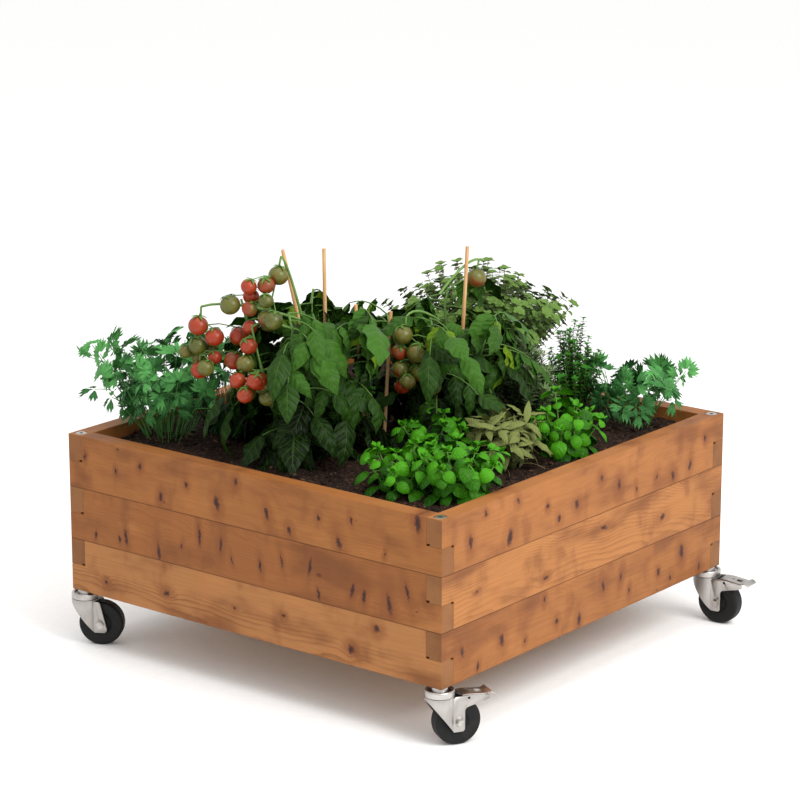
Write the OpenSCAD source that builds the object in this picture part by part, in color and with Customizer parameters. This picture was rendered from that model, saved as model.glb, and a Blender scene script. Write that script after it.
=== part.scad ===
// Square planter box on four swivel casters, filled with soil, herbs and staked tomatoes.
// Millimetres, +Z up. The origin is on the floor under the middle of the box; +X is the
// side with the two braked casters, and -Y is the front.

/* [Box] */
// Outside width and depth of the box
box_w = 1040; // [800:10:1300]
// Height of one board
board_h = 120; // [100:5:150]
// Thickness of the boards
board_t = 40; // [36:1:48]
// Chamfer along the boards' edges
edge_cut = 1.5; // [0.5:0.5:3]

/* [Casters] */
// Height from the floor to the underside of the box
caster_h = 128; // [126:1:132]
// Diameter of the wheels
wheel_d = 100; // [90:1:101]
// Width of the tyres
tyre_w = 32; // [24:1:32]
// Distance from the swivel axis back to the wheel's axle
trail = 36; // [34:1:38]
// Heading of the front right caster, anticlockwise from +X
heading_front_right = 60; // [0:1:359]
// Heading of the front left caster
heading_front_left = 32; // [0:1:359]
// Heading of the back right caster
heading_back_right = 4; // [0:1:359]
// Heading of the back left caster
heading_back_left = 205; // [0:1:359]

/* [Filling] */
// Depth from the rim down to the soil
soil_drop = 25; // [15:1:60]
// Diameter of the bamboo stakes
stake_d = 8; // [6:1:10]
// Diameter of a tomato
tomato_d = 36; // [28:1:42]

/* [Hidden] */
$fn = 64;

// The box: three courses of boards, half-lapped at the corners
half_w = box_w / 2;
inner = half_w - board_t;            // from the middle to a board's inner face
lap_h = board_h / 2;
rim_z = caster_h + 3 * board_h;
bolt_at = half_w - board_t / 2;      // bolt and caster axes, both ways from the middle
notch_w = 10;                        // clearance rebate along the inner edge of each tongue
notch_h = 5;
corners = [[bolt_at, -bolt_at], [-bolt_at, -bolt_at], [bolt_at, bolt_at], [-bolt_at, bolt_at]];

// The long bolts and the sleeve nuts sunk in the rim
bolt_r = 4.9;
bolt_hole_r = 5.6;
bolt_head_r = 9;
bolt_head_h = 4.4;
sleeve_r = 7;
sleeve_l = 30;
flange_r = 14;
flange_h = 2.5;
flange_drop = 0.2;                   // the flange sits this far below the rim
nut_gap = 0.3;
hex_af = 8;

// The slatted floor
bearer = 40;
bearer_lift = 8;
slat_t = 18;
slat_w = 95;
slat_count = 9;
slat_pitch = 105;
slat_z = caster_h + bearer_lift + bearer;
screw_r = 2;
screw_l = 40;
screw_head_r = 4;
liner_t = 1.5;
liner_top = rim_z - soil_drop - 8;
soil_z = rim_z - soil_drop;

// Caster heights, all from the floor
axle_z = wheel_d / 2;
kingpin_low = 98;
crown_low = 103.5;
crown_top = 107;
race_z = 112.2;
rim_low = 107.5;
rim_top = 122;
fork_foot = 31;

// Caster radii and widths
ring_r = 31.4;
kingpin_r = 11.95;
run_gap = 0.05;                      // radial clearance of every running fit
axle_r = 5.5;
fork_w = 46;
plate_t = 3;
hub_w = fork_w - 2 * plate_t - 0.8;
core_r = 22;
foot_back = 47;

// The brake: a pedal on a pin between the fork's wings
pin_x = 56;
pin_z = 102;
pin_r = 2.5;
wing_end = 101;
pedal_w = fork_w - 2 * plate_t - 0.8;
pedal_t = 2.5;
tail_w = 44;
tail_end = 115;

// Where each plant stands, its widest radius and its height: [x, y, r, h]
tomato_left_at = [-60, -265, 85, 390];
tomato_right_at = [90, 25, 90, 410];
parsley_left_at = [-395, -335, 70, 250];
parsley_right_at = [345, 400, 65, 190];
chives_at = [-285, -250, 35, 170];
oregano_at = [-30, 325, 150, 330];
thyme_at = [235, 330, 50, 230];
rosemary_at = [185, 225, 50, 200];
sage_at = [335, -60, 60, 130];
basil_at = [[280, -350, 60, 125], [395, -295, 60, 150], [180, -118, 48, 140], [370, 110, 68, 145]];

// Each stake: [foot x, foot y, tip x, tip y, tip height above the floor]
stake_depth = 150;
stake_list = [
    [-28, -213, -104, -274, 915], [-95, -139, -99, -142, 896], [23, -150, 7, -163, 790],
    [29, -94, 41, -84, 765], [100, 79, 116, 92, 890]
];

// Trusses of fruit: [x, y, height above the floor of the top fruit, number of fruits]
truss_list = [
    [-115, -370, 850, 5], [-228, -410, 755, 5], [-92, -398, 684, 4], [85, -100, 705, 5],
    [120, 120, 815, 1]
];

wood = "#b87b48";
zinc = "#c9c5bf";
black = "#262626";

function arc(cx, cy, r, a0, a1, n) =
    [for (i = [0:n]) let (a = a0 + (a1 - a0) * i / n) [cx + r * cos(a), cy + r * sin(a)]];

// Put a caster's part on its corner, turned to its heading
module at_corner(c, heading) {
    translate([corners[c][0], corners[c][1], 0]) rotate([0, 0, heading]) children();
}

// Turn a solid made along +Z so that it lies along the wheel's axle
module on_axle() {
    translate([trail, 0, axle_z]) rotate([90, 0, 0]) children();
}

// Stand a side outline up in the caster's own plane, w wide and centred
module side_plate(w) {
    translate([0, w / 2, 0]) rotate([90, 0, 0]) linear_extrude(height = w) children();
}

module board_blank() {
    c = edge_cut;
    profile = [
        [-board_t / 2 + c, 0], [board_t / 2 - c, 0], [board_t / 2, c],
        [board_t / 2, board_h - c], [board_t / 2 - c, board_h], [-board_t / 2 + c, board_h],
        [-board_t / 2, board_h - c], [-board_t / 2, c]
    ];
    translate([-half_w, 0, 0]) rotate([90, 0, 90]) linear_extrude(height = box_w) polygon(profile);
}

// Rebate along a tongue's inner edge, from low to low + notch_h; s is the board's end and
// inside the way to the box's middle
module notch(s, inside, low) {
    translate([s * (bolt_at + 0.5), inside * (board_t / 2 - notch_w / 2 + 0.5), low + notch_h / 2])
        cube([board_t + 1, notch_w + 1, notch_h], center = true);
}

// A board whose lower half runs to the corners: used at the front and the back
module low_tongue_board(inside) {
    difference() {
        board_blank();
        for (s = [-1, 1]) {
            translate([s * half_w, 0, lap_h + board_h / 2])
                cube([2 * board_t, 2 * board_t, board_h], center = true);
            notch(s, inside, lap_h - notch_h);
            translate([s * bolt_at, 0, -1]) cylinder(r = bolt_hole_r, h = board_h + 2);
        }
    }
}

// A board whose upper half runs to the corners: used at the left and the right
module high_tongue_board(inside, sunk) {
    difference() {
        board_blank();
        for (s = [-1, 1]) {
            translate([s * half_w, 0, lap_h - board_h / 2])
                cube([2 * board_t, 2 * board_t, board_h], center = true);
            notch(s, inside, lap_h);
            translate([s * bolt_at, 0, -1]) cylinder(r = bolt_hole_r, h = board_h + 2);
            if (sunk) translate([s * bolt_at, 0, board_h]) {
                translate([0, 0, -sleeve_l - 4]) cylinder(r = sleeve_r + nut_gap, h = sleeve_l + 5);
                translate([0, 0, -flange_h - flange_drop]) cylinder(r = flange_r + nut_gap, h = 4);
            }
        }
    }
}

module course_x(side, level) {
    color(wood) translate([0, side * bolt_at, caster_h + level * board_h])
        low_tongue_board(-side);
}

module course_y(side, level) {
    color(wood) translate([side * bolt_at, 0, caster_h + level * board_h])
        rotate([0, 0, 90]) high_tongue_board(side, level == 2);
}

module board_front_low() { course_x(-1, 0); }
module board_front_mid() { course_x(-1, 1); }
module board_front_top() { course_x(-1, 2); }
module board_back_low() { course_x(1, 0); }
module board_back_mid() { course_x(1, 1); }
module board_back_top() { course_x(1, 2); }
module board_left_low() { course_y(-1, 0); }
module board_left_mid() { course_y(-1, 1); }
module board_left_top() { course_y(-1, 2); }
module board_right_low() { course_y(1, 0); }
module board_right_mid() { course_y(1, 1); }
module board_right_top() { course_y(1, 2); }

// Four long bolts: each holds a caster and pulls one corner together
module tie_bolts() {
    color(zinc) for (c = corners) translate([c[0], c[1], 0]) {
        translate([0, 0, kingpin_low]) cylinder(r = bolt_r, h = rim_z - kingpin_low - 12);
        translate([0, 0, kingpin_low - bolt_head_h]) cylinder(r1 = 6, r2 = bolt_head_r, h = 2);
        translate([0, 0, kingpin_low - bolt_head_h + 2]) cylinder(r = bolt_head_r, h = 2.4);
    }
}

// Flanged nuts with a hexagon socket, sunk into the rim's corners
module sleeve_nuts() {
    color(zinc) for (c = corners) translate([c[0], c[1], rim_z - flange_drop - flange_h]) difference() {
        union() {
            cylinder(r = flange_r, h = flange_h * 0.6);
            translate([0, 0, flange_h * 0.6])
                cylinder(r1 = flange_r, r2 = flange_r - 2, h = flange_h * 0.4);
            translate([0, 0, -sleeve_l]) cylinder(r = sleeve_r, h = sleeve_l + 0.5);
        }
        translate([0, 0, -sleeve_l - 1]) cylinder(r = bolt_r + 0.1, h = sleeve_l - 6);
        translate([0, 0, -5]) cylinder(r = hex_af / sqrt(3), h = 10, $fn = 6);
    }
}

module floor_bearers() {
    color("#a8794c") for (s = [-1, 0, 1])
        translate([-inner + 1, s * (inner - bearer / 2) - bearer / 2, caster_h + bearer_lift])
            difference() {
                cube([2 * inner - 2, bearer, bearer]);
                for (x = slat_middles()) translate([x + inner - 1, bearer / 2, bearer - screw_l + slat_t])
                    cylinder(r = screw_r, h = screw_l, $fn = 24);
            }
}

function slat_middles() = [for (i = [0:slat_count - 1]) (i - (slat_count - 1) / 2) * slat_pitch];

module floor_slats() {
    color("#b08454") for (x = slat_middles()) difference() {
        translate([x - slat_w / 2, -inner + 1, slat_z]) cube([slat_w, 2 * inner - 2, slat_t]);
        for (s = [-1, 0, 1]) translate([x, s * (inner - bearer / 2), slat_z - 1]) {
            cylinder(r = screw_r + 0.2, h = slat_t + 2, $fn = 24);
            translate([0, 0, slat_t - 1.8]) cylinder(r1 = screw_r + 0.2, r2 = screw_head_r + 0.2, h = 2.8);
        }
    }
}

module slat_screws() {
    color(zinc) for (x = slat_middles(), s = [-1, 0, 1])
        translate([x, s * (inner - bearer / 2), slat_z + slat_t - screw_l]) {
            cylinder(r = screw_r - 0.05, h = screw_l - 2.2, $fn = 24);
            translate([0, 0, screw_l - 2.3]) cylinder(r1 = screw_r - 0.05, r2 = screw_head_r, h = 2.2);
        }
}

module liner() {
    w = 2 * inner - 1;
    color("#1c1c1c") translate([-w / 2, -w / 2, slat_z + slat_t]) difference() {
        cube([w, w, liner_top - slat_z - slat_t]);
        translate([liner_t, liner_t, liner_t]) cube([w - 2 * liner_t, w - 2 * liner_t, board_h * 3]);
    }
}

// Sixteen balls under each caster head
module swivel_balls() {
    ball_r = 2.45;
    race_r = 19.5;
    color(zinc) for (c = corners, i = [0:15])
        translate([c[0], c[1], (crown_top + race_z) / 2])
            rotate([0, 0, i * 22.5]) translate([race_r, 0, 0]) sphere(r = ball_r, $fn = 24);
}

// The fixed half of a caster: a dished ring that bears on the box, and the hollow kingpin
module caster_head(c) {
    rim_mid = (ring_r + 24.6) / 2;
    rim_r = (ring_r - 24.6) / 2;
    profile = concat(
        [[bolt_hole_r, kingpin_low], [16, kingpin_low], [16, 100.5], [14.5, 103.2],
            [kingpin_r, 103.2], [kingpin_r, race_z], [24, race_z], [24, rim_low],
            [ring_r - 1, rim_low], [ring_r, rim_low + 1]],
        arc(rim_mid, rim_top - rim_r, rim_r, 0, 180, 8),
        [[24, 116.5], [18, 116.5], [17, 118], [17, caster_h], [bolt_hole_r, caster_h]]);
    color(zinc) translate([corners[c][0], corners[c][1], 0]) rotate_extrude() polygon(profile);
}

// Side outline of a plain leg
module plain_leg() {
    union() {
        polygon([[19, crown_low], [19, fork_foot + 5], [23, fork_foot], [43, fork_foot],
            [50.4, 40.5], [36.5, 98], [33, 102.5], [28, crown_low]]);
        translate([43, fork_foot + 7.5]) circle(r = 7.5);
    }
}

// Side outline of a leg with a wing that carries the brake pedal
module winged_leg() {
    polygon(concat(
        [[19, crown_low], [19, fork_foot + 5], [23, fork_foot]],
        arc(foot_back - 6, fork_foot + 6, 6, -90, 0, 5),
        arc(foot_back + 9, 74, 9, 180, 100, 5),
        [[66, 86], [90, 91.5], [wing_end, 96], [wing_end, 103]],
        [[60, 107], [34, 107], [27, crown_top], [24, crown_low]]));
}

// The turning half of a caster: crown, rounded nose and two legs pressed from one sheet
module fork(c, heading, braked) {
    leg_y = fork_w / 2 - plate_t / 2;
    nose = [[-ring_r - 1, crown_low + 1], [-ring_r - 1, 101], [-ring_r, 101], [22, fork_foot + 1],
        [22, crown_low + 1]];
    color(zinc) at_corner(c, heading) difference() {
        union() {
            translate([0, 0, crown_low]) cylinder(r = ring_r, h = crown_top - crown_low);
            intersection() {
                difference() {
                    translate([0, 0, fork_foot]) cylinder(r = ring_r, h = crown_top - fork_foot - 1);
                    translate([0, 0, fork_foot - 1]) cylinder(r = ring_r - plate_t, h = crown_top);
                }
                side_plate(2 * ring_r + 2) polygon(nose);
            }
            for (s = [-1, 1]) translate([0, s * leg_y, 0]) side_plate(plate_t)
                if (braked) winged_leg(); else plain_leg();
        }
        translate([0, 0, crown_low - 5]) cylinder(r = kingpin_r + run_gap, h = 20);
        on_axle() cylinder(r = axle_r, h = fork_w + 2, center = true);
        if (braked) translate([pin_x, 0, pin_z]) rotate([90, 0, 0])
            cylinder(r = pin_r, h = fork_w + 2, center = true);
    }
}

// Axle bolt through both legs, with its flanged head outwards and its nut behind
module axle(c, heading) {
    color("#b5b2ad") at_corner(c, heading) on_axle() {
        cylinder(r = axle_r, h = fork_w + 13, center = true);
        translate([0, 0, fork_w / 2]) cylinder(r = 8.6, h = 1.2);
        translate([0, 0, fork_w / 2]) cylinder(r = 8, h = 6, $fn = 6);
        translate([0, 0, -fork_w / 2 - 5]) cylinder(r = 8.6, h = 5, $fn = 6);
    }
}

module wheel_core(c, heading) {
    color("#1e1e1e") at_corner(c, heading) on_axle() rotate_extrude() polygon([
        [axle_r + run_gap, -hub_w / 2], [10, -hub_w / 2], [12, -11], [19, -11], [core_r, -13],
        [core_r, 13], [19, 11], [12, 11], [10, hub_w / 2], [axle_r + run_gap, hub_w / 2]
    ]);
}

// Solid rubber tyre with rounded shoulders
module tyre(c, heading) {
    shoulder = 6;
    r = wheel_d / 2;
    h = tyre_w / 2;
    color(black) at_corner(c, heading) on_axle() rotate_extrude($fn = 96) polygon(concat(
        [[core_r, -13], [core_r + 3, -14.5]],
        [[r - 14, -h]], arc(r - shoulder, -h + shoulder, shoulder, -90, 0, 6),
        arc(r - shoulder, h - shoulder, shoulder, 0, 90, 6), [[r - 14, h]],
        [[core_r + 3, 14.5], [core_r, 13]]));
}

// Pedal of a brake: a shallow channel on its pin, with a raised tread at the end
module brake_pedal(c, heading) {
    top = [[43, 109], [60, 109.6], [98, 105.8], [102.5, 108.2], [107, 108.8], [111, 106.8],
        [tail_end, 103.2]];
    under = [for (i = [len(top) - 1:-1:0]) [top[i][0], top[i][1] - pedal_t]];
    flange = [[46, 108], [46, 103], [52, 98.6], [60, 98.6], [96, 101], [98, 104.6], [60, 108.4]];
    color("#bdb9b3") at_corner(c, heading) difference() {
        union() {
            side_plate(pedal_w) polygon(concat(top, under));
            intersection() {
                side_plate(tail_w) polygon(concat(top, under));
                translate([wing_end + 2, -tail_w / 2, 0]) cube([40, tail_w, 200]);
            }
            for (s = [-1, 1]) translate([0, s * (pedal_w / 2 - 1.25), 0])
                side_plate(2.5) polygon(flange);
        }
        translate([pin_x, 0, pin_z]) rotate([90, 0, 0])
            cylinder(r = pin_r + run_gap, h = fork_w, center = true);
        translate([77, -7, 90]) cube([15, 14, 40]);
        translate([69, 0, 90]) cylinder(r = 3, h = 40);
    }
}

module brake_pin(c, heading) {
    color("#8d8a86") at_corner(c, heading) translate([pin_x, 0, pin_z]) rotate([90, 0, 0])
        cylinder(r = pin_r, h = fork_w + 0.6, center = true);
}

// Block under the pedal that comes down onto the tyre
module brake_shoe(c, heading) {
    color("#3a3a3a") at_corner(c, heading) side_plate(22)
        polygon([[60, 107.1], [60, 97.5], [65, 95.8], [74, 91.8], [75, 105.6]]);
}

module caster_head_front_right() { caster_head(0); }
module caster_head_front_left() { caster_head(1); }
module caster_head_back_right() { caster_head(2); }
module caster_head_back_left() { caster_head(3); }
module fork_front_right() { fork(0, heading_front_right, true); }
module fork_front_left() { fork(1, heading_front_left, false); }
module fork_back_right() { fork(2, heading_back_right, true); }
module fork_back_left() { fork(3, heading_back_left, false); }
module axle_front_right() { axle(0, heading_front_right); }
module axle_front_left() { axle(1, heading_front_left); }
module axle_back_right() { axle(2, heading_back_right); }
module axle_back_left() { axle(3, heading_back_left); }
module wheel_core_front_right() { wheel_core(0, heading_front_right); }
module wheel_core_front_left() { wheel_core(1, heading_front_left); }
module wheel_core_back_right() { wheel_core(2, heading_back_right); }
module wheel_core_back_left() { wheel_core(3, heading_back_left); }
module tyre_front_right() { tyre(0, heading_front_right); }
module tyre_front_left() { tyre(1, heading_front_left); }
module tyre_back_right() { tyre(2, heading_back_right); }
module tyre_back_left() { tyre(3, heading_back_left); }
module brake_pedal_front_right() { brake_pedal(0, heading_front_right); }
module brake_pin_front_right() { brake_pin(0, heading_front_right); }
module brake_shoe_front_right() { brake_shoe(0, heading_front_right); }
module brake_pedal_back_right() { brake_pedal(2, heading_back_right); }
module brake_pin_back_right() { brake_pin(2, heading_back_right); }
module brake_shoe_back_right() { brake_shoe(2, heading_back_right); }

module soil() {
    w = 2 * inner - 2 * liner_t - 1.2;
    color("#2c211c") translate([-w / 2, -w / 2, slat_z + slat_t + liner_t + 0.1])
        cube([w, w, soil_z - slat_z - slat_t - liner_t - 0.1]);
}

// A straight round rod between two points
module rod(a, b, r) {
    d = b - a;
    translate(a) rotate([0, acos(d[2] / norm(d)), atan2(d[1], d[0])]) cylinder(r = r, h = norm(d));
}

module stakes() {
    color("#d8b48a") for (s = stake_list) {
        foot = [s[0], s[1], soil_z];
        tip = [s[2], s[3], s[4]];
        low = foot - (tip - foot) * stake_depth / (tip[2] - foot[2]);
        rod(low, tip, stake_d / 2);
    }
}

// Egg-shaped body of one plant, narrow where it leaves the soil
module plant(p, tint) {
    n = 10;
    stem_r = p[2] * 0.3;
    outline = concat([[0, 0], [stem_r, 0]],
        [for (i = [2:n - 1]) let (a = 180 * i / n)
            [p[2] * pow(sin(a), 0.8), p[3] * (1 - cos(a)) / 2]],
        [[0, p[3]]]);
    color(tint) translate([p[0], p[1], soil_z]) rotate_extrude() polygon(outline);
}

module tomato_left() { plant(tomato_left_at, "#2f5a22"); }
module tomato_right() { plant(tomato_right_at, "#2f5a22"); }
module parsley_left() { plant(parsley_left_at, "#3f8a4f"); }
module parsley_right() { plant(parsley_right_at, "#3f8a4f"); }
module chives() { plant(chives_at, "#244a2a"); }
module oregano() { plant(oregano_at, "#4c6b3a"); }
module thyme() { plant(thyme_at, "#3c6b33"); }
module rosemary() { plant(rosemary_at, "#6f7d58"); }
module sage() { plant(sage_at, "#7d8459"); }
module basil() { for (p = basil_at) plant(p, "#4fa02c"); }

// Fruits hang in two staggered rows below one another
module tomato_fruit() {
    step = tomato_d * 0.62;
    color("#c4412a") for (t = truss_list, i = [0:t[3] - 1])
        translate([t[0] + (i % 2) * tomato_d, t[1] + (i % 2) * 12, t[2] - i * step])
            sphere(r = tomato_d / 2, $fn = 32);
}

board_front_low();
board_front_mid();
board_front_top();
board_back_low();
board_back_mid();
board_back_top();
board_left_low();
board_left_mid();
board_left_top();
board_right_low();
board_right_mid();
board_right_top();
tie_bolts();
sleeve_nuts();
floor_bearers();
floor_slats();
slat_screws();
liner();
swivel_balls();
caster_head_front_right();
fork_front_right();
axle_front_right();
wheel_core_front_right();
tyre_front_right();
caster_head_front_left();
fork_front_left();
axle_front_left();
wheel_core_front_left();
tyre_front_left();
caster_head_back_right();
fork_back_right();
axle_back_right();
wheel_core_back_right();
tyre_back_right();
caster_head_back_left();
fork_back_left();
axle_back_left();
wheel_core_back_left();
tyre_back_left();
brake_pedal_front_right();
brake_pin_front_right();
brake_shoe_front_right();
brake_pedal_back_right();
brake_pin_back_right();
brake_shoe_back_right();
soil();
stakes();
tomato_left();
tomato_right();
tomato_fruit();
parsley_left();
parsley_right();
chives();
oregano();
thyme();
rosemary();
sage();
basil();
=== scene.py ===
"""Looks of the raised planter: larch boards, casters, soil, herbs and staked tomatoes."""

import math
import random

import bmesh
import bpy
import numpy as np
from mathutils import Matrix, Vector, noise


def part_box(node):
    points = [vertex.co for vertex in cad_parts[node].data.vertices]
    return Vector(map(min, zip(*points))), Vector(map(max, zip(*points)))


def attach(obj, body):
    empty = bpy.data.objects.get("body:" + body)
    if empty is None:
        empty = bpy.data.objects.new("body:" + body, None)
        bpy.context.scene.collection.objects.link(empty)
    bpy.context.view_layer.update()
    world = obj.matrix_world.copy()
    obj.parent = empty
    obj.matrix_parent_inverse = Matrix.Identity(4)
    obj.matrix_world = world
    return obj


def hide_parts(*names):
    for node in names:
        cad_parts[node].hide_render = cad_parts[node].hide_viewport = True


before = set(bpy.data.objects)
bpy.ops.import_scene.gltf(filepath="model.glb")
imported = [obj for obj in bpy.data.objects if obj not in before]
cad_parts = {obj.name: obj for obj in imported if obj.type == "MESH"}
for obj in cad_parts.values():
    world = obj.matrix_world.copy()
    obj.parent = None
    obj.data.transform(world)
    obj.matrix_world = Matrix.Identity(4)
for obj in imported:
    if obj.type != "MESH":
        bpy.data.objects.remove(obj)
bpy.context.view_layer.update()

MM = 0.001
BODY = "planter"
soil_low, soil_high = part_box("soil")
ATLAS = 4                      # cells along each side of a plant's texture atlas
STEM_CELL = (3, 3)
GOLDEN = 2.4                   # turn from one stem of a plant to the next, in radians
WELD = 0.00001                 # points of a CAD mesh nearer than this are one point
BOLT_HOLE = 7.3 * MM           # radius
FLANGE_SEAT = 14.3 * MM        # radius
FLANGE_SEAT_DEPTH = 2.7 * MM
NOTCH_WIDTH = 10 * MM
NOTCH_HEIGHT = 5 * MM
JOINT_SHADE_HEIGHT = 2 * MM                 # height of the painted shade in the groove where two courses meet
KNOT_SEED = 40


def ink(code):
    """A colour written as rrggbb, as the linear values that the shaders take."""
    parts = [int(code[i:i + 2], 16) / 255 for i in (0, 2, 4)]
    linear = [c / 12.92 if c < 0.04045 else ((c + 0.055) / 1.055) ** 2.4 for c in parts]
    return (*linear, 1.0)


def placed(name, data):
    """A new object of the scene."""
    piece = bpy.data.objects.new(name, data)
    bpy.context.scene.collection.objects.link(piece)
    return piece


def mesh_of(bm, name):
    """Turns a bmesh into a mesh of its own, and frees it."""
    mesh = bpy.data.meshes.new(name)
    bm.to_mesh(mesh)
    bm.free()
    return mesh


class Graph:
    """One material, whose nodes are added by short calls."""

    def __init__(self, name, roughness=0.5, metallic=0.0, specular=0.5):
        self.material = bpy.data.materials.new(name)
        self.material.use_nodes = True
        self.tree = self.material.node_tree
        self.shader = self.tree.nodes["Principled BSDF"]
        self.shader.inputs["Roughness"].default_value = roughness
        self.shader.inputs["Metallic"].default_value = metallic
        self.shader.inputs["Specular IOR Level"].default_value = specular

    def node(self, kind, values=None, **settings):
        node = self.tree.nodes.new("ShaderNode" + kind)
        for key, value in settings.items():
            setattr(node, key, value)
        for socket, value in (values or {}).items():
            self.set(node.inputs[socket], value)
        return node

    def set(self, socket, value):
        if isinstance(value, bpy.types.NodeSocket):
            self.tree.links.new(value, socket)
        else:
            socket.default_value = value

    def place(self):
        return self.node("TexCoord").outputs["Object"]

    def atlas(self):
        """Where a point is on its plant's atlas, in cells."""
        return self.node("UVMap", uv_map="leaf").outputs[0]

    def math(self, operation, a, b=0.0, c=0.0):
        return self.node("Math", {0: a, 1: b, 2: c}, operation=operation).outputs[0]

    def plus(self, a, b):
        return self.math("ADD", a, b)

    def less(self, a, b):
        return self.math("SUBTRACT", a, b)

    def times(self, a, b):
        return self.math("MULTIPLY", a, b)

    def shift(self, place, amount):
        return self.node("VectorMath", {0: place, 1: amount}, operation="ADD").outputs[0]

    def stretch(self, place, amount):
        return self.node("VectorMath", {0: place, 1: amount}, operation="MULTIPLY").outputs[0]

    def split(self, place):
        return self.node("SeparateXYZ", {0: place}).outputs

    def noise(self, place, scale=1.0, detail=2.0, roughness=0.5, output="Fac"):
        values = {"Vector": place, "Scale": scale, "Detail": detail, "Roughness": roughness}
        return self.node("TexNoise", values).outputs[output]

    def step(self, value, low, high, start=0.0, end=1.0):
        values = {"Value": value, "From Min": low, "From Max": high, "To Min": start, "To Max": end}
        return self.node("MapRange", values, interpolation_type="SMOOTHSTEP").outputs[0]

    def mix(self, factor, a, b, blend="MIX"):
        node = self.node("Mix", data_type="RGBA", blend_type=blend)
        self.set(node.inputs[0], factor)
        self.set(node.inputs[6], a)
        self.set(node.inputs[7], b)
        return node.outputs[2]

    def over(self, colour, code, value, low, high, amount):
        """Lays the ink over the colour, up to an amount, as a value goes from low to high."""
        return self.mix(self.step(value, low, high, 0.0, amount), colour, ink(code))

    def ramp(self, factor, *stops):
        node = self.node("ValToRGB", {0: factor})
        elements = node.color_ramp.elements
        while len(elements) < len(stops):
            elements.new(0.5)
        for element, (position, colour) in zip(elements, stops):
            element.position = position
            element.color = colour
        return node.outputs[0]

    def relief(self, height, distance, strength=1.0):
        values = {"Height": height, "Distance": distance, "Strength": strength}
        self.set(self.shader.inputs["Normal"], self.node("Bump", values).outputs[0])

    def done(self, colour, roughness=None):
        self.set(self.shader.inputs["Base Color"], colour)
        if roughness is not None:
            self.set(self.shader.inputs["Roughness"], roughness)
        return self.material


# ---------------------------------------------------------------- wood

# How each course grows its knots: their number, usual half width and half height in millimetres
KNOT_HABITS = {
    ("front", "top"): (14, 5, 9), ("front", "mid"): (16, 4, 15), ("front", "low"): (6, 7, 5),
    ("right", "top"): (14, 6, 10), ("right", "mid"): (4, 10, 4), ("right", "low"): (14, 6, 11)}
OPPOSITE = {"back": "front", "left": "right"}

# Each board's tint, how far its growth rings stand out, the heart of the tree as (through the
# board, up it) in metres, how the rings climb along it, and the height where they fade out
BOARD_LOOKS = {
    ("front", "low"): ("b8855a", 0.50, (0.045, 0.0), 0.0, 0.066),
    ("front", "mid"): ("a06a3e", 0.16, (0.16, -0.05), 0.02, 0.3),
    ("front", "top"): ("a87243", 0.12, (0.22, 0.16), -0.03, 0.3),
    ("right", "low"): ("aa7446", 0.14, (0.18, -0.10), 0.03, 0.3),
    ("right", "mid"): ("bd8656", 0.34, (0.16, -0.05), 0.05, 0.3),
    ("right", "top"): ("b0794b", 0.12, (0.20, 0.20), 0.02, 0.3),
}
KNOT_GROWTH = 1.4              # the knots' drawn size against their usual sizes
OIL = (0.74, 0.63, 0.45, 1)    # how much of each colour the oil on the boards lets through


def grown_knots(seed, length, height, habit):
    """Knots strewn along a board, one in each equal stretch of it: along, up, half width, half
    height, lean in degrees and how dark; millimetres."""
    count, wide, tall = habit
    rng = random.Random(seed)
    knots = []
    for k in range(count):
        along = length * ((k + rng.uniform(0.1, 0.9)) / count - 0.5)
        up = height * rng.uniform(0.14, 0.86)
        grown = rng.triangular(0.5, 1.7, 0.8)
        tall_grown = grown * rng.uniform(0.7, 1.5)
        lean = rng.uniform(-16, 16)
        knots.append((along, up, wide * grown, tall * tall_grown, lean, rng.uniform(0.55, 1.0)))
    return knots


def knot_distance(g, place, knots):
    """0 at the middle of the nearest knot, 1 at its ragged edge."""
    rough = g.noise(place, 90.0, 3.0, output="Color")
    fine = g.noise(g.stretch(place, (420.0, 420.0, 150.0)), 1.0, 2.0, output="Color")
    rough = g.stretch(g.shift(rough, (-0.5, -0.5, -0.5)), (0.010, 0.0, 0.016))
    fine = g.stretch(g.shift(fine, (-0.5, -0.5, -0.5)), (0.006, 0.0, 0.008))
    place = g.shift(g.shift(place, rough), fine)
    nearest = 9.0
    for along, up, half_w, half_h, lean, dark in knots:
        values = {
            "Vector": place, "Location": (along * MM, 0, up * MM),
            "Rotation": (0, math.radians(lean), 0),
            "Scale": (half_w * MM * KNOT_GROWTH, 0.09, half_h * MM * KNOT_GROWTH)}
        local = g.node("Mapping", values, vector_type="TEXTURE").outputs[0]
        away = g.node("VectorMath", {0: local}, operation="LENGTH").outputs["Value"]
        away = g.plus(away, 0.5 * (1 - dark))
        nearest = g.math("MINIMUM", nearest, away)
    return nearest


def growth_rings(g, place, local, knot, heart, climb):
    """How far each point is into the dark late wood, from 0 to 1."""
    pull = g.math("EXPONENT", g.times(g.times(knot, knot), -0.3))
    drift = g.noise(g.stretch(local, (1.6, 5.0, 5.0)), 1.0, 2.0)
    sway = g.noise(g.stretch(local, (8.0, 24.0, 24.0)), 1.0, 2.0)
    shiver = g.noise(g.stretch(local, (34.0, 60.0, 60.0)), 1.0, 1.0)
    radial = g.shift(g.stretch(place, (0.0, 1.0, 1.0)), (0, -heart[0], -heart[1]))
    radius = g.node("VectorMath", {0: radial}, operation="LENGTH").outputs["Value"]
    for field, amount in ((drift, 0.075), (sway, 0.009), (shiver, 0.0022), (pull, 0.012),
                          (g.split(place)[0], climb)):
        radius = g.plus(radius, g.times(field, amount))
    pitch = g.step(drift, 0.3, 0.7, 0.0050, 0.0068)
    ring = g.math("FRACT", g.math("DIVIDE", radius, pitch))
    late = g.times(g.step(ring, 0.45, 0.93), g.step(ring, 0.99, 0.94))
    fade = g.noise(g.stretch(local, (3.0, 7.0, 12.0)), 1.0, 2.0)
    return g.times(late, g.step(fade, 0.34, 0.58, 0.25, 1.0))


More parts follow.
